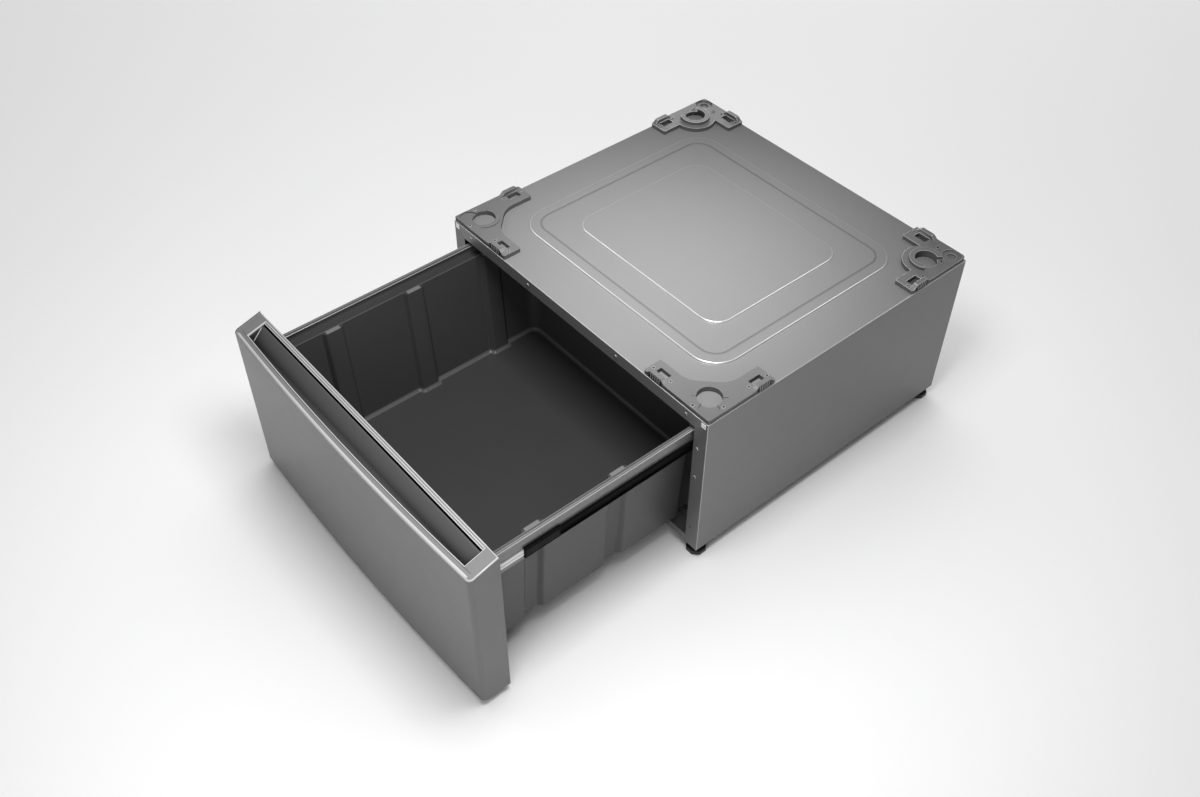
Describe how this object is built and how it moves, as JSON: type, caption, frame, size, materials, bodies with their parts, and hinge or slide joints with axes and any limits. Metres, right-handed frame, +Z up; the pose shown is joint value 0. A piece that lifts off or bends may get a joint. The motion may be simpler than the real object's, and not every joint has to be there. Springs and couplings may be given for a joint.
{
  "type": "laundry pedestal drawer",
  "caption": "Low laundry pedestal with a pull-out storage drawer, bowed front, top hand pocket, ball runners, foot sockets and levelling feet.",
  "frame": {"origin": "on the floor, at the centre of the whole footprint with the drawer pulled out", "axes": "+X to the right seen from the front, +Y from the drawer front to the back, +Z up"},
  "size_m": [0.686, 1.1117, 0.3555],
  "materials": {
    "graphite_paint": "metallic graphite paint, satin",
    "dark_paint": "dark grey paint, satin",
    "grey_plastic": "fine-grained grey moulding",
    "charcoal_plastic": "satin charcoal moulding",
    "light_trim": "satin light grey moulding",
    "black_plastic": "matte black moulding",
    "black_rubber": "soft black rubber",
    "black_steel": "black coated steel",
    "zinc_steel": "bright zinc-plated steel"
  },
  "bodies": {
    "cabinet": {"top_panel": "graphite_paint", "left_side_panel": "graphite_paint", "right_side_panel": "graphite_paint", "back_panel": "graphite_paint", "front_top_rail": "dark_paint", "front_sill": "graphite_paint", "rear_sill": "dark_paint", "front_left_post": "dark_paint", "front_right_post": "dark_paint", "rear_left_post": "dark_paint", "rear_right_post": "dark_paint", "front_left_foot_bracket": "dark_paint", "front_right_foot_bracket": "dark_paint", "rear_left_foot_bracket": "dark_paint", "rear_right_foot_bracket": "dark_paint", "foot_lock_nuts": "zinc_steel", "front_left_retainer": "grey_plastic", "front_right_retainer": "grey_plastic", "rear_left_retainer": "grey_plastic", "rear_right_retainer": "grey_plastic", "retainer_screws": "zinc_steel", "frame_screws": "zinc_steel", "back_screws": "zinc_steel", "corner_clips": "zinc_steel", "left_cabinet_runner": "black_steel", "right_cabinet_runner": "black_steel", "front_left_runner_bracket": "zinc_steel", "front_right_runner_bracket": "zinc_steel", "rear_left_runner_bracket": "zinc_steel", "rear_right_runner_bracket": "zinc_steel", "runner_end_stops": "black_rubber"},
    "drawer": {"drawer_tub": "charcoal_plastic", "left_tub_rail": "graphite_paint", "right_tub_rail": "graphite_paint", "rear_tub_rail": "graphite_paint", "left_drawer_runner": "black_steel", "right_drawer_runner": "black_steel", "left_front_bracket": "zinc_steel", "right_front_bracket": "zinc_steel", "runner_end_caps": "black_plastic", "front_shell": "graphite_paint", "front_backing_plate": "dark_paint", "handle_cap": "light_trim", "hand_pocket": "charcoal_plastic", "closing_bumpers": "black_rubber", "drawer_screws": "zinc_steel"},
    "left_cage": {"left_ball_cage": "zinc_steel", "left_bearing_balls": "zinc_steel"},
    "right_cage": {"right_ball_cage": "zinc_steel", "right_bearing_balls": "zinc_steel"},
    "front_left_foot": {"front_left_foot_pad": "black_plastic", "front_left_foot_screw": "zinc_steel"},
    "front_right_foot": {"front_right_foot_pad": "black_plastic", "front_right_foot_screw": "zinc_steel"},
    "rear_left_foot": {"rear_left_foot_pad": "black_plastic", "rear_left_foot_screw": "zinc_steel"},
    "rear_right_foot": {"rear_right_foot_pad": "black_plastic", "rear_right_foot_screw": "zinc_steel"}
  },
  "joints": [
    {"name": "drawer_slide", "type": "slide", "parent": "cabinet", "child": "drawer", "axis": [0, 1, 0], "range_m": [0, 0.404]},
    {"name": "left_cage_slide", "type": "slide", "parent": "cabinet", "child": "left_cage", "axis": [0, 1, 0], "range_m": [0, 0.202]},
    {"name": "right_cage_slide", "type": "slide", "parent": "cabinet", "child": "right_cage", "axis": [0, 1, 0], "range_m": [0, 0.202]},
    {"name": "front_left_foot_height", "type": "slide", "parent": "cabinet", "child": "front_left_foot", "axis": [0, 0, -1], "range_m": [0, 0.018]},
    {"name": "front_right_foot_height", "type": "slide", "parent": "cabinet", "child": "front_right_foot", "axis": [0, 0, -1], "range_m": [0, 0.018]},
    {"name": "rear_left_foot_height", "type": "slide", "parent": "cabinet", "child": "rear_left_foot", "axis": [0, 0, -1], "range_m": [0, 0.018]},
    {"name": "rear_right_foot_height", "type": "slide", "parent": "cabinet", "child": "rear_right_foot", "axis": [0, 0, -1], "range_m": [0, 0.018]}
  ],
  "couplings": [
    {"joint": "left_cage_slide", "follows": "drawer_slide", "ratio": 0.5},
    {"joint": "right_cage_slide", "follows": "drawer_slide", "ratio": 0.5}
  ]
}
